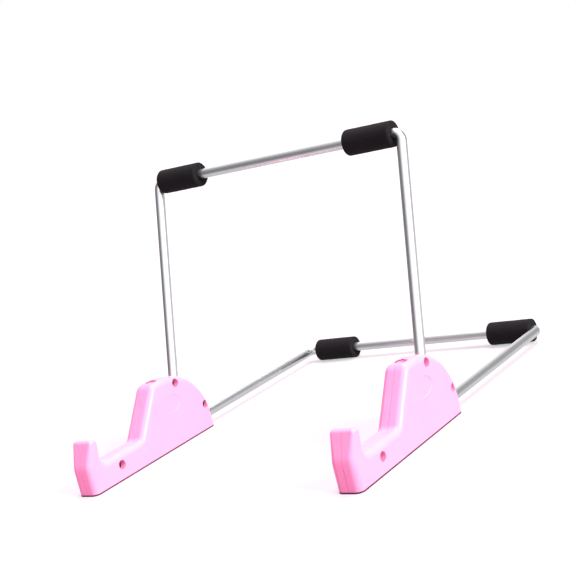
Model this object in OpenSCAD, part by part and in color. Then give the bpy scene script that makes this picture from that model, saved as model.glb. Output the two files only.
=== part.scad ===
// Take-apart table stand for a book or a tablet: two moulded feet, two U-shaped tubes, four foam sleeves.
// +X runs from the left foot to the right foot, +Y to the back, +Z up; the table is z = 0.

/* [Stand] */
// Distance between the middles of the two feet, which is also the width of both tubes between leg centres
foot_spacing = 236; // [140:1:320]
// Lean of the upper tube, back from upright, in degrees
lean = 16.4; // [8:0.1:24]
// Length of each upper leg, from its lower end to the crossbar's centre
upper_leg_l = 195.6; // [130:0.1:260]
// Length of each lower leg, from its front end to the crossbar's centre
lower_leg_l = 211; // [130:0.5:280]

/* [Tubes] */
// Outer diameter of both tubes
tube_d = 8; // [6:0.1:9.6]
// Wall of both tubes
tube_wall = 1; // [0.6:0.1:1.6]
// Radius of the tube bends, at the tube's centre
bend_r = 6; // [5.6:0.1:9]

/* [Foot] */
// Length of a foot, front to back
foot_l = 151; // [142:1:190]
// Thickness of a foot, side to side
foot_t = 19.4; // [15:0.1:24]
// Height of a foot at its top, above the table
foot_h = 57; // [50:0.5:70]
// Height of the tray that the book stands in, above the table
tray_h = 20.5; // [20:0.5:24]
// Length of the tray floor, from the lip to the foot of the slope
tray_l = 46; // [24:1:60]
// Height of the lip, above the table
lip_h = 41; // [32:0.5:46]
// Thickness of the lip at its top
lip_t = 7; // [5.5:0.1:9]
// Forward offset of the lip's top from its own back face line, which leans its front face
lip_lean = 8.5; // [4:0.5:12]
// Length of the slope that rises behind the tray, along the floor
slope_l = 28; // [20:1:34]
// Radius of the big curve down the back of the foot
back_r = 46; // [25:1:47]
// Wall of the moulding
wall = 2.2; // [1.6:0.1:2.4]
// Rounding of the long side edges
edge_r = 5; // [4:0.1:5.8]
// Rounding of the side edges around the lip's top
lip_edge_r = 2.5; // [2:0.1:2.7]
// Rounding of the lip's top, seen from the side
lip_top_r = 3.3; // [3.1:0.1:3.4]

/* [Sockets] */
// Radial clearance of a tube in its socket
socket_gap = 0.08; // [0.04:0.01:0.1]
// Wall around a socket inside the foot
socket_wall = 1.6; // [1.2:0.1:1.8]
// Depth of the leaning sockets below the top of the foot, along the tube
socket_depth = 38.5; // [30:0.5:39]
// Depth of the level socket at the back of the foot
back_socket_depth = 39; // [25:0.5:42]
// Distance from the foot's front to the used leaning socket, at the top of the foot
rear_socket_y = 127.2; // [120:0.1:128]
// Distance between the empty front socket and the used one
socket_pitch = 28.5; // [24:0.1:30]
// Room left under a tube's end in its socket
end_gap = 0.2; // [0.1:0.1:1]

/* [Screws] */
// Diameter of a screw's head
head_d = 5.8; // [5:0.1:6.2]
// Height of a screw's head
head_h = 1.9; // [1.5:0.1:2.2]
// Diameter of a screw's shank
shank_d = 3; // [2.5:0.1:3.2]
// Length of a screw's shank
shank_l = 8.4; // [6:0.1:8.6]
// Diameter of the recess that a screw is sunk in
recess_d = 7.2; // [6.6:0.1:7.4]
// Depth of that recess
recess_depth = 5.5; // [3.5:0.1:6]
// Radial clearance of a screw in its holes
screw_gap = 0.05; // [0.03:0.01:0.1]
// Wall around a screw inside the foot
boss_wall = 1.4; // [1.1:0.1:1.6]

/* [Sole pads] */
// Thickness of the dark pad under a foot
sole_t = 1.2; // [0.8:0.1:2]

/* [Foam sleeves] */
// Outer diameter of a sleeve
sleeve_d = 20; // [18:0.5:24]
// Length of a sleeve
sleeve_l = 40; // [30:1:48]
// Radial clearance of a sleeve on its tube
sleeve_gap = 0.08; // [0.04:0.01:0.1]
// Bevel of a sleeve's outer edges
sleeve_bevel = 0.8; // [0.4:0.1:2]
// Depth of the flared mouth at each end of a sleeve, over the inner radius of the tube's bend
mouth_depth_share = 1.2; // [1:0.05:1.5]
// Extra radius of that mouth at its rim, over the inner radius of the tube's bend
mouth_flare_share = 0.5; // [0.45:0.01:0.6]
// How far a sleeve is pushed onto the bend, over the bend's inner radius; below zero it stops short of the bend
upper_left_push = 0.2; // [-3:0.05:0.8]
// The same at the upper right
upper_right_push = -0.1; // [-3:0.05:0.8]
// The same at the lower left
lower_left_push = -2.55; // [-3:0.05:0.8]
// The same at the lower right
lower_right_push = 0.8; // [-3:0.05:0.8]

/* [Oval] */
// Length of the plain oval sunk in the side of a foot
oval_l = 27.5; // [12:0.5:28]
// Height of that oval
oval_h = 14.5; // [8:0.5:18]
// Depth of that oval
oval_depth = 0.4; // [0.2:0.1:0.8]

/* [Hidden] */
$fn = 64;

tube_r = tube_d / 2;
tube_bore_r = tube_r - tube_wall;
bend_inner_r = bend_r - tube_r;
mouth_depth = mouth_depth_share * bend_inner_r;
mouth_flare = mouth_flare_share * bend_inner_r;
socket_r = tube_r + socket_gap;
foot_x = foot_spacing / 2;
half_t = foot_t / 2;
leg_up = [0, sin(lean), cos(lean)];

// The lower tube lies at the height of its sleeves' centres, so that they rest on the table
lower_z = sleeve_d / 2;
lower_end_y = foot_l - back_socket_depth + end_gap;
lower_bar_y = lower_end_y + lower_leg_l;
depth = lower_bar_y + sleeve_d / 2;

// Where the upper legs end, and where their crossbar comes
rear_socket_top = [0, rear_socket_y, foot_h];
front_socket_top = [0, rear_socket_y - socket_pitch, foot_h];
upper_end = rear_socket_top - (socket_depth - end_gap) * leg_up;
upper_bar = upper_end + upper_leg_l * leg_up;

// Foot outline: each corner as [y, z, corner radius, side edge radius], from front bottom to back bottom
front_kink_z = tray_h + 1.5;
lip_back_y = lip_lean + lip_t;
slope_y = lip_back_y + tray_l;
top_front_y = slope_y + slope_l;
CORNERS = [
    [0, sole_t, 0, edge_r],
    [0, front_kink_z, 14, edge_r],
    [lip_lean, lip_h, lip_top_r, lip_edge_r],
    [lip_back_y, lip_h - 1, lip_top_r, lip_edge_r],
    [lip_back_y, tray_h, 5.5, edge_r],
    [slope_y, tray_h, 6, edge_r],
    [top_front_y, foot_h, 9, edge_r],
    [foot_l, foot_h, back_r, edge_r],
    [foot_l, sole_t, 0, edge_r]
];
ARC_STEPS = 8;
EDGE_STEPS = 6;

// Screws, as [y, z] in the foot
front_screw_at = [34, 11.8];
top_screw_at = [rear_socket_y - 11.4, foot_h - 7.3];
rear_screw_at = [foot_l - 6, lower_z + 10.9];
SCREWS_AT = [front_screw_at, top_screw_at, rear_screw_at];
shoulder_x = half_t - recess_depth;
oval_at = [rear_socket_y - 24.4, foot_h - 21.5];
RIBS_AT = [lip_back_y + tray_l / 2 + 12, slope_y + 8];
rib_t = 1.4;
eps = 0.01;

function unit(v) = v / norm(v);

// One rounded corner, as a list of [y, z, inward normal y, inward normal z, side edge radius]
function corner(a, b, c) =
    let (
        into = unit([b[0] - a[0], b[1] - a[1]]),
        out = unit([c[0] - b[0], c[1] - b[1]]),
        turn = atan2(into[0] * out[1] - into[1] * out[0], into * out),
        tangent = b[2] * tan(abs(turn) / 2),
        start = [b[0], b[1]] - tangent * into,
        side = sign(turn),
        centre = start + b[2] * side * [-into[1], into[0]]
    )
    [for (i = [0:ARC_STEPS])
        let (
            swing = turn * i / ARC_STEPS,
            heading = [into[0] * cos(swing) - into[1] * sin(swing), into[0] * sin(swing) + into[1] * cos(swing)],
            at = centre - b[2] * side * [-heading[1], heading[0]]
        )
        [at[0], at[1], heading[1], -heading[0], b[3]]
    ];

// An end of the outline, where it meets the sole
function outline_end(a, b, at) =
    let (heading = unit([b[0] - a[0], b[1] - a[1]]))
    [[at[0], at[1], heading[1], -heading[0], at[3]]];

function outline(c) =
    let (last = len(c) - 1)
    concat(
        outline_end(c[0], c[1], c[0]),
        [for (i = [1:last - 1]) each corner(c[i - 1], c[i], c[i + 1])],
        outline_end(c[last - 1], c[last], c[last])
    );

// The foot's outer form, or with skin > 0 the hollow inside a wall of that thickness
module foot_form(skin) {
    path = outline(CORNERS);
    n = len(path);
    steps = concat([for (k = [0:EDGE_STEPS]) [-1, 90 - 90 * k / EDGE_STEPS]],
                   [for (k = [0:EDGE_STEPS]) [1, 90 * k / EDGE_STEPS]]);
    m = len(steps);
    points = [
        for (s = steps, p = path)
        let (
            r = p[4] - skin,
            inset = skin + r * (1 - cos(s[1])),
            x = s[0] * (half_t - p[4] + r * sin(s[1]))
        )
        [x, p[0] + p[2] * inset, p[1] + p[3] * inset]
    ];
    sides = [
        for (k = [0:m - 2], i = [0:n - 1])
        let (j = (i + 1) % n, a = k * n, b = (k + 1) * n)
        each [[a + i, b + j, b + i], [a + i, a + j, b + j]]
    ];
    caps = [[for (i = [n - 1:-1:0]) i], [for (i = [0:n - 1]) (m - 1) * n + i]];
    // resize() sets the exact thickness
    resize([foot_t - 2 * skin, 0, 0]) polyhedron(points, concat(sides, caps));
}

module half_space(side) {
    translate([side > 0 ? 0 : -foot_t, -foot_l, 0]) cube([foot_t, 3 * foot_l, 3 * foot_h]);
}

// A cylinder along the leaning legs, from a socket's bottom upwards
module along_leg(top, r, below, length) {
    translate(top - below * leg_up) rotate([-lean, 0, 0]) cylinder(r = r, h = length);
}

module sockets(r, floor_t, over) {
    along_leg(rear_socket_top, r, socket_depth + floor_t, socket_depth + floor_t + over);
    along_leg(front_socket_top, r, socket_depth + floor_t, socket_depth + floor_t + over);
    translate([0, foot_l - back_socket_depth - floor_t, lower_z]) rotate([-90, 0, 0])
        cylinder(r = r, h = back_socket_depth + floor_t + over);
}

module across(at, r, from_x, to_x) {
    translate([from_x, at[0], at[1]]) rotate([0, 90, 0]) cylinder(r = r, h = to_x - from_x);
}

// What stands in the hollow: socket walls, screw bosses and ribs
module inner_walls() {
    sockets(socket_r + socket_wall, socket_wall, 0);
    for (at = SCREWS_AT) {
        across(at, recess_d / 2 + boss_wall, 0, half_t);
        across(at, shank_d / 2 + boss_wall, -half_t, 0);
    }
    for (y = RIBS_AT) translate([-half_t, y, 0]) cube([foot_t, rib_t, foot_h]);
}

module screw_holes() {
    for (at = SCREWS_AT) {
        across(at, recess_d / 2, shoulder_x, foot_t);
        across(at, shank_d / 2 + screw_gap, shoulder_x - shank_l - screw_gap, shoulder_x + eps);
    }
}

module oval_recess() {
    translate([half_t - oval_depth, oval_at[0], oval_at[1]]) rotate([90, 0, 90]) linear_extrude(foot_t)
        polygon([for (a = [0:10:350]) [oval_l / 2 * cos(a), oval_h / 2 * sin(a)]]);
}

module foot_half(side) {
    difference() {
        intersection() {
            foot_form(0);
            half_space(side);
        }
        difference() {
            intersection() {
                foot_form(wall);
                translate([-foot_t, 0, sole_t + wall]) cube([2 * foot_t, foot_l, foot_h]);
            }
            inner_walls();
        }
        sockets(socket_r, 0, foot_h);
        screw_holes();
        if (side > 0) oval_recess();
    }
}

module screw(at) {
    difference() {
        union() {
            across(at, head_d / 2, shoulder_x, shoulder_x + head_h);
            across(at, shank_d / 2, shoulder_x - shank_l, shoulder_x);
        }
        translate([shoulder_x + head_h, at[0], at[1]]) cube([head_h, head_d * 0.62, 0.9], center = true);
        translate([shoulder_x + head_h, at[0], at[1]]) cube([head_h, 0.9, head_d * 0.62], center = true);
    }
}

module sole_pad() {
    union() {
        translate([edge_r - half_t, 0, 0]) cube([foot_t - 2 * edge_r, foot_l, sole_t]);
        translate([-half_t, edge_r, 0]) cube([foot_t, foot_l - 2 * edge_r, sole_t]);
        for (x = [edge_r - half_t, half_t - edge_r], y = [edge_r, foot_l - edge_r])
            translate([x, y, 0]) cylinder(r = edge_r, h = sole_t);
    }
}

// Half of a U-shaped bar of radius r: its leg stands along +Z at x = foot_x, its crossbar is at z = leg
module u_half(r, leg, extra) {
    translate([foot_x, 0, -extra]) cylinder(r = r, h = leg - bend_r + extra);
    translate([foot_x - bend_r, 0, leg - bend_r]) rotate([90, 0, 0]) rotate_extrude(angle = 90)
        translate([bend_r, 0]) circle(r = r);
    translate([0, 0, leg]) rotate([0, 90, 0]) cylinder(r = r, h = foot_x - bend_r);
}

module u_bar(r, leg, extra) {
    u_half(r, leg, extra);
    mirror([1, 0, 0]) u_half(r, leg, extra);
}

module u_tube(leg) {
    difference() {
        u_bar(tube_r, leg, 0);
        u_bar(tube_bore_r, leg, 1);
    }
}

// A foam sleeve along +X from x = 0
module sleeve() {
    bore = tube_r + sleeve_gap;
    r = sleeve_d / 2;
    rotate([0, 90, 0]) rotate_extrude() polygon([
        [bore, mouth_depth],
        [bore + mouth_flare, 0],
        [r - sleeve_bevel, 0],
        [r, sleeve_bevel],
        [r, sleeve_l - sleeve_bevel],
        [r - sleeve_bevel, sleeve_l],
        [bore + mouth_flare, sleeve_l],
        [bore, sleeve_l - mouth_depth]
    ]);
}

// Puts a sleeve at one end of the bar at y, z; side is -1 on the left and 1 on the right
module sleeve_at(side, push, bar) {
    outer_x = foot_x - bend_r + push * bend_inner_r;
    color("#2b282b") in_frame() translate([side > 0 ? outer_x - sleeve_l : -outer_x, bar[1], bar[2]]) sleeve();
}

// Moves from the foot's own front to the stand's frame, which is centred front to back
module in_frame() {
    translate([0, -depth / 2, 0]) children();
}

module upper_tube() {
    color("#c9ccd0") in_frame() translate(upper_end) rotate([-lean, 0, 0]) u_tube(upper_leg_l);
}

module lower_tube() {
    color("#c9ccd0") in_frame() translate([0, lower_end_y, lower_z]) rotate([-90, 0, 0]) u_tube(lower_leg_l);
}

module upper_left_sleeve() sleeve_at(-1, upper_left_push, upper_bar);
module upper_right_sleeve() sleeve_at(1, upper_right_push, upper_bar);
module lower_left_sleeve() sleeve_at(-1, lower_left_push, [0, lower_bar_y, lower_z]);
module lower_right_sleeve() sleeve_at(1, lower_right_push, [0, lower_bar_y, lower_z]);

// Puts a piece of a foot in place; side is -1 on the left and 1 on the right
module in_foot(side) {
    in_frame() translate([side * foot_x, 0, 0]) children();
}

module foot_screw_half(side) {
    color("#ffccf5") in_foot(side) foot_half(1);
}

module foot_plain_half(side) {
    color("#ffc4f0") in_foot(side) foot_half(-1);
}

module foot_sole_pad(side) {
    color("#553447") in_foot(side) sole_pad();
}

module foot_screw(side, at) {
    color("#8d8f93") in_foot(side) screw(at);
}

upper_tube();
lower_tube();
upper_left_sleeve();
upper_right_sleeve();
lower_left_sleeve();
lower_right_sleeve();
foot_screw_half(-1);  // left_foot_screw_half
foot_plain_half(-1);  // left_foot_plain_half
foot_sole_pad(-1);  // left_sole_pad
foot_screw(-1, front_screw_at);  // left_front_screw
foot_screw(-1, top_screw_at);  // left_top_screw
foot_screw(-1, rear_screw_at);  // left_rear_screw
foot_screw_half(1);  // right_foot_screw_half
foot_plain_half(1);  // right_foot_plain_half
foot_sole_pad(1);  // right_sole_pad
foot_screw(1, front_screw_at);  // right_front_screw
foot_screw(1, top_screw_at);  // right_top_screw
foot_screw(1, rear_screw_at);  // right_rear_screw
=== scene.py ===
"""Looks of a take-apart table stand: two pink moulded feet, two bent aluminium tubes and four foam sleeves.

Everything is in metres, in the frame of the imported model: +X right, +Y back, +Z up, the table at z = 0.
"""
import math

import bmesh
import bpy
from mathutils import Matrix, Vector, noise


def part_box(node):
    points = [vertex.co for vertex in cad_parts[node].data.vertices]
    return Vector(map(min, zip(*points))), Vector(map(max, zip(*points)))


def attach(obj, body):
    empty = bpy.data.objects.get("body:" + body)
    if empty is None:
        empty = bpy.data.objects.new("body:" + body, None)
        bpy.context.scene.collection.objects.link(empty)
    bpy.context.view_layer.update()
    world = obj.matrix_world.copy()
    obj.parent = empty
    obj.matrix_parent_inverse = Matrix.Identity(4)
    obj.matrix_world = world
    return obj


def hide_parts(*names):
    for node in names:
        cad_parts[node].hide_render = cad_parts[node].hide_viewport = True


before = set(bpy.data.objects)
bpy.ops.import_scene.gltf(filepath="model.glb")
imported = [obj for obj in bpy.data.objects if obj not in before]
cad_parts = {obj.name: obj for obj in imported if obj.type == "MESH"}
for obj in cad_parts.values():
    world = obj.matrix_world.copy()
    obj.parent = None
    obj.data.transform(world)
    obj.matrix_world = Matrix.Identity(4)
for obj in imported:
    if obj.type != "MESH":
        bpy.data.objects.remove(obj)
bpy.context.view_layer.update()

MM = 0.001

# ---------------------------------------------------------------- sizes that the looks share with the frame

FOOT_LOW, FOOT_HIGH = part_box("left_foot_screw_half")
FOOT_FRONT_Y = FOOT_LOW.y
FOOT_X = -FOOT_LOW.x                   # middle of the right foot; the left one is its mirror place
FOOT_L = FOOT_HIGH.y - FOOT_LOW.y
FOOT_H = FOOT_HIGH.z
SOLE_T = FOOT_LOW.z
HALF_T = FOOT_HIGH.x - FOOT_LOW.x
LEAN = math.radians(16.4)
LEG_UP = Vector((0, math.sin(LEAN), math.cos(LEAN)))

TUBE_R = 4 * MM
TUBE_WALL = 1 * MM
BEND_R = 6 * MM
SOCKET_R = 4.08 * MM
SOCKET_DEPTH = 38.5 * MM
BACK_SOCKET_DEPTH = 39 * MM
REAR_SOCKET_Y = 127.2 * MM
SOCKET_PITCH = 28.5 * MM
END_GAP = 0.2 * MM
UPPER_LEG_L = 195.6 * MM
LOWER_LEG_L = 211 * MM
LOWER_Z = 10 * MM

TRAY_H = 20.5 * MM
TRAY_L = 46 * MM
LIP_H = 41 * MM
LIP_T = 7 * MM
LIP_LEAN = 8.5 * MM
LIP_TOP_R = 3.3 * MM
SLOPE_L = 28 * MM
BACK_R = 46 * MM
EDGE_R = 5 * MM
LIP_EDGE_R = 2.5 * MM

RECESS_R = 3.6 * MM
RECESS_DEPTH = 5.5 * MM
HEAD_R = 2.9 * MM
HEAD_H = 1.9 * MM
SHANK_R = 1.5 * MM
SHANK_L = 8.4 * MM
PILOT_R = SHANK_R + 0.05 * MM
PILOT_END = -SHANK_L - 0.1 * MM        # bottom of a screw's hole, from the shoulder it is screwed down on
SCREWS = {
    "front": (34 * MM, 11.8 * MM),
    "top": (REAR_SOCKET_Y - 11.4 * MM, FOOT_H - 7.3 * MM),
    "rear": (FOOT_L - 6 * MM, LOWER_Z + 10.9 * MM),
}
OVAL_AT = (REAR_SOCKET_Y - 24.4 * MM, FOOT_H - 21.5 * MM)
OVAL_L = 27.5 * MM
OVAL_H = 14.5 * MM
OVAL_DEPTH = 0.4 * MM

# ---------------------------------------------------------------- small helpers


def mesh_piece(name, bm, material, smooth_angle=35):
    """Makes a piece of a bmesh, smooth but for edges sharper than smooth_angle degrees."""
    bmesh.ops.recalc_face_normals(bm, faces=bm.faces)
    mesh = bpy.data.meshes.new(name)
    bm.to_mesh(mesh)
    bm.free()
    piece = bpy.data.objects.new(name, mesh)
    bpy.context.scene.collection.objects.link(piece)
    mesh.materials.append(material)
    finish_shading(piece, smooth_angle)
    return piece


def finish_shading(piece, smooth_angle):
    mesh = piece.data
    mesh.shade_smooth()
    mesh.set_sharp_from_angle(angle=math.radians(smooth_angle))


def flat_faces_stay_flat(piece):
    """Large flat faces keep their own normal, and the roundings beside them blend into it."""
    weighted = piece.modifiers.new("weighted", "WEIGHTED_NORMAL")
    weighted.keep_sharp = True
    weighted.weight = 100


def apply_modifiers(piece):
    """Turns the piece with its modifiers into a plain mesh."""
    graph = bpy.context.evaluated_depsgraph_get()
    mesh = bpy.data.meshes.new_from_object(piece.evaluated_get(graph), depsgraph=graph)
    piece.modifiers.clear()
    old = piece.data
    piece.data = mesh
    bpy.data.meshes.remove(old)


def cut(piece, cutters):
    """Takes the cutters out of the piece, and removes them."""
    for cutter in cutters:
        boolean = piece.modifiers.new(cutter.name, "BOOLEAN")
        boolean.operation = "DIFFERENCE"
        boolean.solver = "EXACT"
        boolean.object = cutter
    bpy.context.view_layer.update()
    apply_modifiers(piece)
    for cutter in cutters:
        mesh = cutter.data
        bpy.data.objects.remove(cutter)
        bpy.data.meshes.remove(mesh)


def lathe(profile, segments=64):
    """A bmesh turned about +Z from [radius, height] points; a radius of zero closes it on the axis."""
    bm = bmesh.new()
    rings = []
    for radius, height in profile:
        if radius <= 0:
            rings.append([bm.verts.new((0, 0, height))])
            continue
        rings.append([
            bm.verts.new((radius * math.cos(turn), radius * math.sin(turn), height))
            for turn in (2 * math.pi * i / segments for i in range(segments))
        ])
    for low, high in zip(rings, rings[1:]):
        bridge(bm, low, high)
    return bm


def bridge(bm, low, high):
    """Faces between two rings, either of which may be a single point."""
    count = max(len(low), len(high))
    for i in range(count):
        j = (i + 1) % count
        corners = [low[i % len(low)], low[j % len(low)], high[j % len(high)], high[i % len(high)]]
        face = [v for k, v in enumerate(corners) if v not in corners[:k]]
        bm.faces.new(face)


def turned_to(direction, at):
    """A matrix that takes +Z to direction and the origin to at."""
    return Matrix.Translation(at) @ Vector(direction).to_track_quat("Z", "Y").to_matrix().to_4x4()


def cutter_from(name, bm, matrix):
    bm.transform(matrix)
    bmesh.ops.recalc_face_normals(bm, faces=bm.faces)
    mesh = bpy.data.meshes.new(name)
    bm.to_mesh(mesh)
    bm.free()
    cutter = bpy.data.objects.new(name, mesh)
    bpy.context.scene.collection.objects.link(cutter)
    return cutter


# ---------------------------------------------------------------- materials


class Shader:
    """A node material with a Principled surface, and short ways to add nodes to it."""

    def __init__(self, name):
        self.material = bpy.data.materials.new(name)
        self.material.use_nodes = True
        self.tree = self.material.node_tree
        self.surface = self.tree.nodes["Principled BSDF"]

    def node(self, kind, **settings):
        node = self.tree.nodes.new(kind)
        for key, value in settings.items():
            if hasattr(node, key) and key not in node.inputs:
                setattr(node, key, value)
            else:
                node.inputs[key].default_value = value
        return node

    def link(self, source, target):
        self.tree.links.new(source, target)

    def set(self, **values):
        for key, value in values.items():
            self.surface.inputs[key.replace("_", " ")].default_value = value

    def position(self, scale=(1, 1, 1)):
        """The surface's own coordinates, in metres times scale."""
        coords = self.node("ShaderNodeTexCoord")
        mapping = self.node("ShaderNodeMapping")
        mapping.inputs["Scale"].default_value = scale
        self.link(coords.outputs["Object"], mapping.inputs["Vector"])
        return mapping.outputs["Vector"]

    def uv(self, scale=(1, 1, 1)):
        coords = self.node("ShaderNodeUVMap", uv_map="UVMap")
        mapping = self.node("ShaderNodeMapping")
        mapping.inputs["Scale"].default_value = scale
        self.link(coords.outputs["UV"], mapping.inputs["Vector"])
        return mapping.outputs["Vector"]

    def noise(self, vector, scale, detail=3.0, roughness=0.5):
        node = self.node("ShaderNodeTexNoise")
        node.inputs["Scale"].default_value = scale
        node.inputs["Detail"].default_value = detail
        node.inputs["Roughness"].default_value = roughness
        self.link(vector, node.inputs["Vector"])
        return node.outputs["Fac"]

    def cells(self, vector, scale):
        node = self.node("ShaderNodeTexVoronoi")
        node.inputs["Scale"].default_value = scale
        self.link(vector, node.inputs["Vector"])
        return node.outputs["Distance"]

    def spread(self, value, low, high):
        """value from 0 to 1 taken to low to high."""
        node = self.node("ShaderNodeMapRange")
        node.inputs["To Min"].default_value = low
        node.inputs["To Max"].default_value = high
        self.link(value, node.inputs["Value"])
        return node.outputs["Result"]

    def colours(self, value, stops):
        """A colour ramp over value; stops are (place, colour)."""
        node = self.node("ShaderNodeValToRGB")
        ramp = node.color_ramp
        while len(ramp.elements) < len(stops):
            ramp.elements.new(0.5)
        for element, (place, colour) in zip(ramp.elements, stops):
            element.position = place
            element.color = (*colour, 1)
        self.link(value, node.inputs["Fac"])
        return node.outputs["Color"]

    def base_colour(self, value, low, low_colour, high, high_colour):
        """The surface's colour goes from one to the other as value goes from low to high."""
        blend = self.colours(value, [(low, low_colour), (high, high_colour)])
        self.link(blend, self.surface.inputs["Base Color"])

    def bump(self, height, strength, distance, below=None):
        node = self.node("ShaderNodeBump")
        node.inputs["Strength"].default_value = strength
        node.inputs["Distance"].default_value = distance
        self.link(height, node.inputs["Height"])
        if below:
            self.link(below, node.inputs["Normal"])
        return node.outputs["Normal"]


def foot_plastic():
    """Pink moulded plastic: a faint cloudiness, and the fine skin of a mould."""
    s = Shader("foot_plastic")
    place = s.position()
    cloud = s.noise(place, 60, 2)
    s.base_colour(cloud, 0.3, (1.0, 0.41, 0.585), 0.7, (1.0, 0.43, 0.61))
    s.link(s.spread(s.noise(place, 900, 3), 0.30, 0.42), s.surface.inputs["Roughness"])
    skin = s.noise(place, 2200, 4)
    s.link(s.bump(skin, 0.06, 0.05 * MM), s.surface.inputs["Normal"])
    s.set(IOR=1.47, Subsurface_Weight=0.08, Subsurface_Scale=2.5 * MM)
    s.surface.inputs["Subsurface Radius"].default_value = (1.0, 0.5, 0.8)
    return s.material


def tube_metal():
    """Satin drawn aluminium, with fine lines along the tube."""
    s = Shader("tube_metal")
    lines = s.noise(s.uv((2, 900, 1)), 3, 4, 0.7)
    patches = s.noise(s.position(), 45, 3)
    s.base_colour(patches, 0.3, (0.74, 0.75, 0.77), 0.7, (0.80, 0.81, 0.83))
    s.link(s.spread(lines, 0.20, 0.38), s.surface.inputs["Roughness"])
    s.link(s.bump(lines, 0.12, 0.03 * MM), s.surface.inputs["Normal"])
    s.set(Metallic=1.0)
    return s.material


def foam():
    """Black closed-cell foam, with small open pores over a slow unevenness."""
    s = Shader("foam")
    place = s.position()
    pores = s.cells(place, 1500)
    grain = s.noise(place, 1100, 5, 0.7)
    s.base_colour(grain, 0.25, (0.0022, 0.0020, 0.0023), 0.75, (0.0075, 0.0068, 0.0074))
    s.link(s.spread(grain, 0.78, 0.95), s.surface.inputs["Roughness"])
    s.link(s.bump(pores, 0.55, 0.25 * MM, s.bump(grain, 0.5, 0.3 * MM)), s.surface.inputs["Normal"])
    s.set(Specular_IOR_Level=0.24)
    return s.material


# Colour of the sole pad under each foot: dark maroon, with a fine grain.
def sole_rubber():
    s = Shader("sole_rubber")
    grain = s.noise(s.position(), 1400, 3)
    s.base_colour(grain, 0.3, (0.070, 0.022, 0.042), 0.7, (0.098, 0.034, 0.060))
    s.link(s.spread(grain, 0.7, 0.9), s.surface.inputs["Roughness"])
    s.link(s.bump(grain, 0.3, 0.1 * MM), s.surface.inputs["Normal"])
    return s.material


# Steel screws whose colour is painted dark and magenta: painted shade of the deep recesses and a painted
# reflection of the pink walls round them.
def screw_steel():
    s = Shader("screw_steel")
    scratches = s.noise(s.position((1, 1, 4)), 1600, 4)
    # The dark magenta range is painted shade and painted pink reflection; the spread between its two ends
    # is random tone.
    s.base_colour(scratches, 0.3, (0.07, 0.045, 0.06), 0.7, (0.12, 0.075, 0.10))
    s.link(s.spread(scratches, 0.32, 0.55), s.surface.inputs["Roughness"])
    s.set(Metallic=1.0)
    return s.material


PLASTIC = foot_plastic()
METAL = tube_metal()
FOAM = foam()
# The sole pad's dark maroon colour.
DARK_SOLE = sole_rubber()
# Screw steel with painted shade and a painted pink reflection in its colour.
SCREW_PAINTED_SHADE = screw_steel()

# ---------------------------------------------------------------- feet

LIP_BACK_Y = LIP_LEAN + LIP_T
SLOPE_Y = LIP_BACK_Y + TRAY_L
# Each corner of the side view: y, z, corner radius, radius of the side edge there
CORNERS = [
    (0, SOLE_T, 0, EDGE_R),
    (0, TRAY_H + 1.5 * MM, 14 * MM, EDGE_R),
    (LIP_LEAN, LIP_H, LIP_TOP_R, LIP_EDGE_R),
    (LIP_BACK_Y, LIP_H - 1 * MM, LIP_TOP_R, LIP_EDGE_R),
    (LIP_BACK_Y, TRAY_H, 5.5 * MM, EDGE_R),
    (SLOPE_Y, TRAY_H, 6 * MM, EDGE_R),
    (SLOPE_Y + SLOPE_L, FOOT_H, 9 * MM, EDGE_R),
    (FOOT_L, FOOT_H, BACK_R, EDGE_R),
    (FOOT_L, SOLE_T, 0, EDGE_R),
]
EDGE_STEPS = 12
ARC_STEP = math.radians(5)
STRAIGHT_STEP = 4 * MM
GROOVE_W = 0.22 * MM                   # half width of the parting line's groove
GROOVE_D = 0.42 * MM                   # its depth
RIM_STRETCH = 1.04                     # length over width of a leaning bore's mouth in the flat top


def rounded_corner(before, corner, after):
    """Points round one corner, as (place, inward normal, side edge radius)."""
    at, radius, side_r = Vector(corner[:2]), corner[2], corner[3]
    into = (at - Vector(before[:2])).normalized()
    out = (Vector(after[:2]) - at).normalized()
    turn = math.atan2(into.x * out.y - into.y * out.x, into.dot(out))
    way = math.copysign(1, turn)
    start = at - into * (radius * math.tan(abs(turn) / 2))
    centre = start + Vector((-into.y, into.x)) * (radius * way)
    count = max(4, math.ceil(abs(turn) / ARC_STEP))
    points = []
    for i in range(count + 1):
        heading = Matrix.Rotation(turn * i / count, 2) @ into
        place = centre - Vector((-heading.y, heading.x)) * (radius * way)
        points.append((place, Vector((heading.y, -heading.x)), side_r))
    return points


def outline():
    """The side view from the front of the sole, over the top, to the back of the sole."""
    first, last = CORNERS[0], CORNERS[-1]
    runs = [[(Vector(first[:2]), Vector((1, 0)), first[3])]]
    runs += [rounded_corner(*CORNERS[i - 1:i + 2]) for i in range(1, len(CORNERS) - 1)]
    runs.append([(Vector(last[:2]), Vector((-1, 0)), last[3])])
    points = list(runs[0])
    for run in runs[1:]:
        (start, normal, side_r), (end, _, end_r) = points[-1], run[0]
        count = max(1, round((end - start).length / STRAIGHT_STEP))
        for i in range(1, count):
            share = i / count
            points.append((start.lerp(end, share), normal, side_r + (end_r - side_r) * share))
        points += run
    return points


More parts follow.
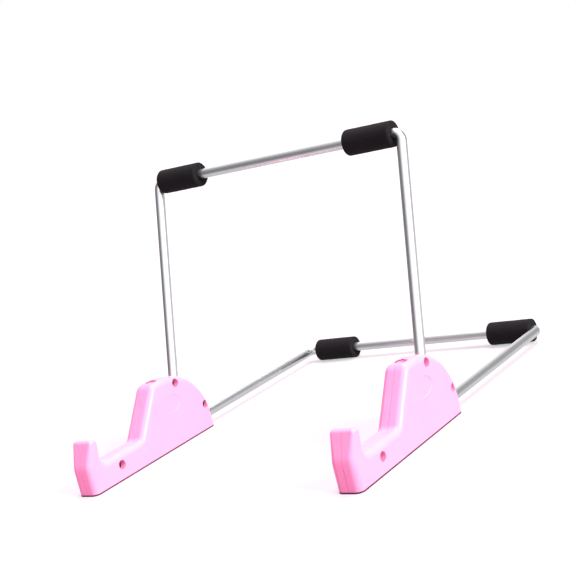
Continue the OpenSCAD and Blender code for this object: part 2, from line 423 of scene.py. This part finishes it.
def foot_half_form(side):
    """Half of a foot in its own place, x = 0 being the parting plane, as a bmesh."""
    path = outline()
    rings = [lambda r: (0, GROOVE_D), lambda r: (GROOVE_W, 0)]
    for k in range(EDGE_STEPS + 1):
        turn = math.pi / 2 * k / EDGE_STEPS
        rings.append(lambda r, turn=turn: (HALF_T - r + r * math.sin(turn), r * (1 - math.cos(turn))))
    bm = bmesh.new()
    loops = []
    for ring in rings:
        loop = []
        for place, normal, side_r in path:
            x, inset = ring(side_r)
            at = place + normal * inset
            loop.append(bm.verts.new((side * x, at.x, at.y)))
        loops.append(loop)
    for low, high in zip(loops, loops[1:]):
        for i in range(len(path) - 1):
            bm.faces.new((low[i], low[i + 1], high[i + 1], high[i]))
    bm.faces.new(loops[0])
    bm.faces.new(loops[-1])
    bm.faces.new([loop[0] for loop in loops] + [loop[-1] for loop in reversed(loops)])
    return bm


def in_foot(y, z, x=0.0):
    return Vector((x, y, z))


def socket_cutters():
    """The three tube sockets of a foot; the front one on top and the one in the back have a lightly broken
    rim.
    """
    made = []
    rim = 0.45 * MM
    rear_top = in_foot(REAR_SOCKET_Y, FOOT_H)
    front_top = in_foot(REAR_SOCKET_Y - SOCKET_PITCH, FOOT_H)
    for name, top in (("rear", rear_top), ("front", front_top)):
        bore = lathe([(0, -SOCKET_DEPTH), (SOCKET_R, -SOCKET_DEPTH), (SOCKET_R, FOOT_H), (0, FOOT_H)])
        made.append(cutter_from(name + "_bore", bore, turned_to(LEG_UP, top)))
    low, high = -3 * rim, 2 * rim
    wide = lathe([(0, low), (SOCKET_R - 2 * rim, low), (SOCKET_R + 3 * rim, high), (0, high)])
    stretch = Matrix.Diagonal((1, RIM_STRETCH, 1, 1))
    made.append(cutter_from("front_rim", wide, Matrix.Translation(front_top) @ stretch))
    back = in_foot(FOOT_L, LOWER_Z)
    bore = lathe([
        (0, -BACK_SOCKET_DEPTH), (SOCKET_R, -BACK_SOCKET_DEPTH), (SOCKET_R, -rim),
        (SOCKET_R + 2 * rim, rim), (0, rim),
    ])
    made.append(cutter_from("back_bore", bore, turned_to((0, 1, 0), back)))
    return made


def recess_cutters():
    """The three screw recesses and the plain oval, in the screw side of a foot."""
    made = []
    shoulder = HALF_T - RECESS_DEPTH
    rim = 0.35 * MM
    for name, (y, z) in SCREWS.items():
        hole = lathe([
            (0, PILOT_END), (PILOT_R, PILOT_END), (PILOT_R, 0), (RECESS_R, 0),
            (RECESS_R, RECESS_DEPTH - rim), (RECESS_R + 0.3 * rim, RECESS_DEPTH - 0.3 * rim),
            (RECESS_R + rim, RECESS_DEPTH), (RECESS_R + rim, 2 * RECESS_DEPTH), (0, 2 * RECESS_DEPTH),
        ])
        made.append(cutter_from(name + "_recess", hole, turned_to((1, 0, 0), in_foot(y, z, shoulder))))
    top = 3 * OVAL_DEPTH
    oval = lathe([(0, 0), (1 - OVAL_DEPTH / OVAL_H, 0), (1, OVAL_DEPTH), (1, top), (0, top)], 128)
    stretch = Matrix.Diagonal((OVAL_H / 2, OVAL_L / 2, 1, 1))
    to_side = Matrix((
        (0, 0, 1, HALF_T - OVAL_DEPTH),
        (0, 1, 0, OVAL_AT[0]),
        (-1, 0, 0, OVAL_AT[1]),
        (0, 0, 0, 1),
    ))
    made.append(cutter_from("oval", oval, to_side @ stretch))
    return made


def pilot_cutters():
    """The screws' blind holes in the plain side of a foot."""
    made = []
    for name, (y, z) in SCREWS.items():
        end = HALF_T - RECESS_DEPTH + PILOT_END
        hole = lathe([(0, 0), (PILOT_R, 0), (PILOT_R, 2 * HALF_T), (0, 2 * HALF_T)], 24)
        made.append(cutter_from(name + "_pilot", hole, turned_to((1, 0, 0), in_foot(y, z, end))))
    return made


def foot_half(kind):
    """The mesh of one half of a foot, at the middle of the frame's X axis."""
    side = 1 if kind == "screw" else -1
    piece = mesh_piece("foot_" + kind, foot_half_form(side), PLASTIC)
    cut(piece, socket_cutters() + (recess_cutters() if side > 0 else pilot_cutters()))
    finish_shading(piece, 32)
    return piece


def screw_form():
    """A pan head screw along +Z, the shoulder at z = 0; build_feet cuts its cross recess afterwards."""
    edge = 0.5 * MM
    profile = [(0, -SHANK_L), (SHANK_R * 0.35, -SHANK_L + 0.2 * MM)]
    pitch = 1.1 * MM
    turns = int((SHANK_L - 1.4 * MM) / pitch)
    root_r = 0.74 * SHANK_R
    for i in range(turns):
        low = -SHANK_L + 1.2 * MM + i * pitch
        profile += [(root_r, low), (SHANK_R, low + 0.45 * pitch), (root_r, low + 0.6 * pitch)]
    profile += [
        (0.8 * SHANK_R, 0), (HEAD_R, 0), (HEAD_R, HEAD_H - 2 * edge), (HEAD_R - 0.3 * edge, HEAD_H - edge),
        (HEAD_R - edge, HEAD_H - 0.3 * edge), (HEAD_R - 2 * edge, HEAD_H), (0, HEAD_H),
    ]
    return lathe(profile, 48)


def cross_cutters(matrix):
    made = []
    arm, width, depth = HEAD_R * 0.62, 0.45 * MM, 0.95 * MM
    for name, size in (("slot_a", (arm, width)), ("slot_b", (width, arm))):
        bm = bmesh.new()
        bmesh.ops.create_cube(bm, size=2)
        for v in bm.verts:
            taper = 0.45 if v.co.z < 0 else 1
            v.co = Vector((v.co.x * size[0] * taper, v.co.y * size[1] * taper, HEAD_H + v.co.z * depth))
        made.append(cutter_from(name, bm, matrix))
    return made


def place_in_foot(source, name, side_x, body, node):
    """A copy of a foot's piece, in the left or the right foot."""
    piece = bpy.data.objects.new(name, source.data.copy())
    bpy.context.scene.collection.objects.link(piece)
    piece.data.transform(Matrix.Translation((side_x, FOOT_FRONT_Y, 0)))
    flat_faces_stay_flat(piece)
    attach(piece, body)
    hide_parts(node)
    return piece


def build_feet():
    halves = {kind: foot_half(kind) for kind in ("screw", "plain")}
    screws = {}
    for name, (y, z) in SCREWS.items():
        to_place = turned_to((1, 0, 0), in_foot(y, z, HALF_T - RECESS_DEPTH))
        bm = screw_form()
        bm.transform(to_place)
        screws[name] = mesh_piece(name + "_screw", bm, SCREW_PAINTED_SHADE)
        cut(screws[name], cross_cutters(to_place))
        finish_shading(screws[name], 40)
    for label, side_x in (("left", -FOOT_X), ("right", FOOT_X)):
        body = label + "_foot"
        for kind, source in halves.items():
            node = f"{label}_foot_{kind}_half"
            place_in_foot(source, node + "_look", side_x, body, node)
        for name, source in screws.items():
            node = f"{label}_{name}_screw"
            place_in_foot(source, node + "_look", side_x, body, node)
        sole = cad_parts[label + "_sole_pad"]
        sole.data.materials.clear()
        sole.data.materials.append(DARK_SOLE)
    for source in [*halves.values(), *screws.values()]:
        mesh = source.data
        bpy.data.objects.remove(source)
        bpy.data.meshes.remove(mesh)


# ---------------------------------------------------------------- tubes

RING = 56                              # points round a tube
BEND_STEPS = 28
WRINKLES = 5                           # ripples pressed into the inside of a bend
WRINKLE_DEPTH = 0.22 * MM
FLATTENING = 0.30 * MM                 # how far the outside of a bend is drawn in


def bent_route(leg):
    """Stations along a U with its legs along +Z: (place, forward, outward of the bend, share of the bend).

    The share is -1 away from a bend.
    """
    corner = leg - BEND_R
    inner = FOOT_X - BEND_R
    stations = []
    straight = 24
    right, left, up = Vector((1, 0, 0)), Vector((-1, 0, 0)), Vector((0, 0, 1))
    for i in range(straight):
        stations.append((Vector((-FOOT_X, 0, corner * i / straight)), up, left, -1))
    for i in range(BEND_STEPS + 1):
        turn = math.pi / 2 * i / BEND_STEPS
        out = Vector((-math.cos(turn), 0, math.sin(turn)))
        along = Vector((math.sin(turn), 0, math.cos(turn)))
        stations.append((Vector((-inner, 0, corner)) + out * BEND_R, along, out, i / BEND_STEPS))
    for i in range(1, straight):
        stations.append((Vector((-inner + inner * i / straight, 0, leg)), right, up, -1))
    middle = [(Vector((0, 0, leg)), right, up, -1)]
    other = []
    for place, along, out, share in reversed(stations):
        across = Vector((-place.x, 0, place.z))
        other.append((across, Vector((along.x, 0, -along.z)), Vector((-out.x, 0, out.z)), share))
    return stations + middle + other


def tube_radius(share, outward):
    """Outer radius at a place round the tube; outward is 1 outside the bend and -1 inside it."""
    if share < 0:
        return TUBE_R
    swell = math.sin(math.pi * share)
    drawn_in = FLATTENING * swell * max(0.0, outward) ** 2
    wave = 0.5 - 0.5 * math.cos(2 * math.pi * WRINKLES * share)
    ripple = WRINKLE_DEPTH * swell * max(0.0, -outward) ** 1.5 * wave
    return TUBE_R - drawn_in - ripple


def tube_form(leg):
    """A hollow bent tube, with its ends rounded over, and a UV that runs along and round it."""
    stations = bent_route(leg)
    bm = bmesh.new()
    uv = bm.loops.layers.uv.new("UVMap")
    edge = 0.25 * MM
    rings = []
    inside = TUBE_R - TUBE_WALL

    def ring(station, radius_at, shift=0.0):
        place, along, out, share = station
        side = along.cross(out)
        verts = []
        for i in range(RING):
            turn = 2 * math.pi * i / RING
            radius = radius_at(share, math.cos(turn))
            from_centre = (out * math.cos(turn) + side * math.sin(turn)) * radius
            verts.append(bm.verts.new(place + along * shift + from_centre))
        return verts

    def plain(radius):
        return lambda share, outward: radius

    first, last = stations[0], stations[-1]
    depth = 30 * MM
    rings.append(ring(first, plain(inside), depth))
    rings.append(ring(first, plain(inside), edge))
    rings.append(ring(first, plain(inside + edge)))
    rings.append(ring(first, plain(TUBE_R - edge)))
    rings.append(ring(first, plain(TUBE_R), edge))
    rings += [ring(station, tube_radius) for station in stations[1:-1]]
    rings.append(ring(last, plain(TUBE_R), -edge))
    rings.append(ring(last, plain(TUBE_R - edge)))
    rings.append(ring(last, plain(inside + edge)))
    rings.append(ring(last, plain(inside), -edge))
    rings.append(ring(last, plain(inside), -depth))
    travelled = 0.0
    for low, high in zip(rings, rings[1:]):
        step = (sum((v.co for v in high), Vector()) - sum((v.co for v in low), Vector())).length / RING
        for i in range(RING):
            j = (i + 1) % RING
            face = bm.faces.new((low[i], low[j], high[j], high[i]))
            for loop, (along, around) in zip(face.loops, ((0, i), (0, i + 1), (1, i + 1), (1, i))):
                loop[uv].uv = (travelled + along * step, around / RING)
        travelled += step
    bm.faces.new(rings[0])
    bm.faces.new(rings[-1])
    return bm


def build_tubes():
    upper_end = in_foot(REAR_SOCKET_Y, FOOT_H) - LEG_UP * (SOCKET_DEPTH - END_GAP)
    lower_end = in_foot(FOOT_L - BACK_SOCKET_DEPTH + END_GAP, LOWER_Z)
    for name, leg, end, turn in (
        ("upper", UPPER_LEG_L, upper_end, -LEAN),
        ("lower", LOWER_LEG_L, lower_end, -math.pi / 2),
    ):
        bm = tube_form(leg)
        bm.transform(Matrix.Translation(end + Vector((0, FOOT_FRONT_Y, 0))) @ Matrix.Rotation(turn, 4, "X"))
        piece = mesh_piece(name + "_tube_look", bm, METAL, 50)
        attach(piece, name + "_frame")
        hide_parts(name + "_tube")


# ---------------------------------------------------------------- foam sleeves

SLEEVE_RING = 96                       # points round a sleeve
SLEEVE_BEVEL = 1.1 * MM
MOUTH_DEPTH = 2.4 * MM
MOUTH_FLARE = 1.0 * MM
DENT = 0.22 * MM                       # the foam's slow unevenness, always inwards


def sleeve_form(length, radius, seed):
    """A foam sleeve along +X from x = 0: soft edges, flared mouths and a slightly uneven skin."""
    bore = TUBE_R + 0.08 * MM
    steps = 5
    outside = []
    for i in range(steps + 1):
        turn = math.pi / 2 * i / steps
        out = radius - SLEEVE_BEVEL + SLEEVE_BEVEL * math.sin(turn)
        outside.append((out, SLEEVE_BEVEL * (1 - math.cos(turn))))
    count = 32
    span = length - 2 * SLEEVE_BEVEL
    outside += [(radius, SLEEVE_BEVEL + span * i / count) for i in range(1, count)]
    outside += [(r, length - h) for r, h in reversed(outside[:steps + 1])]
    mouth = bore + MOUTH_FLARE
    face_in = [(mouth + (radius - SLEEVE_BEVEL - mouth) * i / 4, 0.0) for i in range(4)]
    face_out = [(r, length) for r, _ in reversed(face_in)]
    throat, throat_depth = bore + 0.35 * MOUTH_FLARE, 0.35 * MOUTH_DEPTH
    profile = [
        (bore, MOUTH_DEPTH), (throat, throat_depth), *face_in, *outside, *face_out,
        (throat, length - throat_depth), (bore, length - MOUTH_DEPTH),
    ]
    bm = lathe(profile, SLEEVE_RING)
    bm.verts.ensure_lookup_table()
    bridge(bm, bm.verts[-SLEEVE_RING:], bm.verts[:SLEEVE_RING])
    for v in bm.verts:
        out = math.hypot(v.co.x, v.co.y)
        if out > bore + 1.5 * MOUTH_FLARE:
            wave = noise.fractal(Vector(v.co) * 160 + Vector((seed, 0, 0)), 0.8, 2.0, 3)
            dent = DENT * (0.5 + 0.5 * max(-1.0, min(1.0, wave)))
            share = (out - dent) / out
            v.co.x, v.co.y = v.co.x * share, v.co.y * share
    bm.transform(Matrix.Rotation(math.pi / 2, 4, "Y"))
    return bm


def build_sleeves():
    for seed, name in enumerate(("upper_left", "upper_right", "lower_left", "lower_right")):
        node = name + "_sleeve"
        low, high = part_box(node)
        radius = (high.z - low.z) / 2
        bm = sleeve_form(high.x - low.x, radius, 7.3 * seed + 1.0)
        bm.transform(Matrix.Translation((low.x, (low.y + high.y) / 2, (low.z + high.z) / 2)))
        piece = mesh_piece(node + "_look", bm, FOAM, 60)
        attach(piece, node)
        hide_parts(node)


# ---------------------------------------------------------------- studio

CAMERA_AT = Vector((0.5591, -0.7759, 0.2610))
CAMERA_YAW = 36.32                     # degrees that the view turns left of +Y
CAMERA_PITCH = 9.175                   # degrees below level
CAMERA_ROLL = -14.25                   # degrees that the picture leans
CAMERA_LENS = 76.55


def make_camera():
    yaw, pitch, roll = (math.radians(a) for a in (CAMERA_YAW, CAMERA_PITCH, CAMERA_ROLL))
    forward = Vector((-math.sin(yaw) * math.cos(pitch), math.cos(yaw) * math.cos(pitch), -math.sin(pitch)))
    level = Vector((math.cos(yaw), math.sin(yaw), 0))
    up = level.cross(forward)
    right = level * math.cos(roll) + up * math.sin(roll)
    up = up * math.cos(roll) - level * math.sin(roll)
    data = bpy.data.cameras.new("camera")
    data.lens = CAMERA_LENS
    data.sensor_width = 36
    data.clip_start = 0.01
    data.clip_end = 100
    camera = bpy.data.objects.new("camera", data)
    aim = Matrix((right, up, -forward)).transposed().to_4x4()
    camera.matrix_world = Matrix.Translation(CAMERA_AT) @ aim
    bpy.context.scene.collection.objects.link(camera)
    bpy.context.scene.camera = camera


FLOOR_LIFT = (0.47, 0.56, 0.50, 1)     # light that a camera ray adds to the floor, over its own shading
FLOOR_COLOUR = (0.40, 0.33, 0.37, 1)   # what the floor throws back on the stand
AMBIENT = 0.86
AMBIENT_COLOUR = (1.0, 0.38, 0.80, 1)


def make_floor():
    bm = bmesh.new()
    bmesh.ops.create_grid(bm, x_segments=1, y_segments=1, size=8)
    mesh = bpy.data.meshes.new("floor")
    bm.to_mesh(mesh)
    bm.free()
    floor = bpy.data.objects.new("floor", mesh)
    bpy.context.scene.collection.objects.link(floor)
    material = bpy.data.materials.new("floor")
    material.use_nodes = True
    tree = material.node_tree
    tree.nodes.clear()
    matte = tree.nodes.new("ShaderNodeBsdfDiffuse")
    matte.inputs["Color"].default_value = FLOOR_COLOUR
    glow = tree.nodes.new("ShaderNodeEmission")
    glow.inputs["Color"].default_value = FLOOR_LIFT
    path = tree.nodes.new("ShaderNodeLightPath")
    both = tree.nodes.new("ShaderNodeAddShader")
    clear = tree.nodes.new("ShaderNodeBsdfTransparent")
    shown = tree.nodes.new("ShaderNodeMixShader")
    out = tree.nodes.new("ShaderNodeOutputMaterial")
    tree.links.new(path.outputs["Is Camera Ray"], glow.inputs["Strength"])
    tree.links.new(matte.outputs[0], both.inputs[0])
    tree.links.new(glow.outputs[0], both.inputs[1])
    tree.links.new(path.outputs["Is Glossy Ray"], shown.inputs["Fac"])
    tree.links.new(both.outputs[0], shown.inputs[1])
    tree.links.new(clear.outputs[0], shown.inputs[2])
    tree.links.new(shown.outputs[0], out.inputs["Surface"])
    mesh.materials.append(material)


# What the metal mirrors is a white room at GLOSSY_WHITE with two dim sides:
# (direction, cosine where it starts to dim, cosine where it is dimmest, what is left there)
GLOSSY_WHITE = 1.3
DIM_SIDES = [
    (Vector((-0.906, -0.42, 0.0)), 0.25, 0.80, 0.17),
    (Vector((0.42, 0.80, 0.38)), 0.55, 0.93, 0.28),
]
BELOW = 0.55                           # what is left of that white towards the table


def make_world():
    world = bpy.data.worlds.new("studio")
    bpy.context.scene.world = world
    world.use_nodes = True
    tree = world.node_tree
    tree.nodes.clear()

    def ranged(value, from_low, from_high, to_low, to_high):
        node = tree.nodes.new("ShaderNodeMapRange")
        node.inputs["From Min"].default_value = from_low
        node.inputs["From Max"].default_value = from_high
        node.inputs["To Min"].default_value = to_low
        node.inputs["To Max"].default_value = to_high
        tree.links.new(value, node.inputs["Value"])
        return node.outputs["Result"]

    def facing(direction):
        node = tree.nodes.new("ShaderNodeVectorMath")
        node.operation = "DOT_PRODUCT"
        node.inputs[1].default_value = direction.normalized()
        tree.links.new(coords.outputs["Generated"], node.inputs[0])
        return node.outputs["Value"]

    def joined(kind, first, second):
        node = tree.nodes.new("ShaderNodeMath")
        node.operation = kind
        tree.links.new(first, node.inputs[0])
        tree.links.new(second, node.inputs[1])
        return node.outputs[0]

    def glow(colour, strength):
        node = tree.nodes.new("ShaderNodeBackground")
        node.inputs["Color"].default_value = colour
        if isinstance(strength, float):
            node.inputs["Strength"].default_value = strength
        else:
            tree.links.new(strength, node.inputs["Strength"])
        return node.outputs[0]

    def chosen(share, first, second):
        node = tree.nodes.new("ShaderNodeMixShader")
        tree.links.new(share, node.inputs["Fac"])
        tree.links.new(first, node.inputs[1])
        tree.links.new(second, node.inputs[2])
        return node.outputs[0]

    coords = tree.nodes.new("ShaderNodeTexCoord")
    path = tree.nodes.new("ShaderNodeLightPath")
    sides = [ranged(facing(way), start, full, 1.0, left) for way, start, full, left in DIM_SIDES]
    room = joined("MULTIPLY", *sides)
    down = ranged(facing(Vector((0, 0, -1))), 0.2, 0.5, 0.0, 1.0)
    toward_table = tree.nodes.new("ShaderNodeMix")
    tree.links.new(down, toward_table.inputs["Factor"])
    tree.links.new(room, toward_table.inputs["A"])
    toward_table.inputs["B"].default_value = BELOW
    mirrored = ranged(toward_table.outputs["Result"], 0.0, 1.0, 0.0, GLOSSY_WHITE)
    white = (1, 1, 1, 1)
    seen = joined("MAXIMUM", path.outputs["Is Camera Ray"], path.outputs["Is Transmission Ray"])
    light = chosen(path.outputs["Is Glossy Ray"], glow(AMBIENT_COLOUR, AMBIENT), glow(white, mirrored))
    out = tree.nodes.new("ShaderNodeOutputWorld")
    tree.links.new(chosen(seen, light, glow(white, 1.0)), out.inputs["Surface"])


# Distant soft lamps: (name, where it comes from, watts per square metre, width in degrees)
LAMPS = [
    ("key", Vector((0.98, -0.12, 0.48)), 3.7, 24),
    ("top", Vector((0.1, 0.3, 0.95)), 2.9, 40),
]


def make_lamps():
    for name, come_from, watts, width in LAMPS:
        data = bpy.data.lights.new(name, "SUN")
        data.energy = watts
        data.angle = math.radians(width)
        lamp = bpy.data.objects.new(name, data)
        lamp.location = come_from
        lamp.rotation_mode = "QUATERNION"
        lamp.rotation_quaternion = (-come_from).to_track_quat("-Z", "Y")
        bpy.context.scene.collection.objects.link(lamp)


make_camera()
build_feet()
build_tubes()
build_sleeves()
make_floor()
make_world()
make_lamps()
bpy.context.scene.view_settings.view_transform = "Standard"
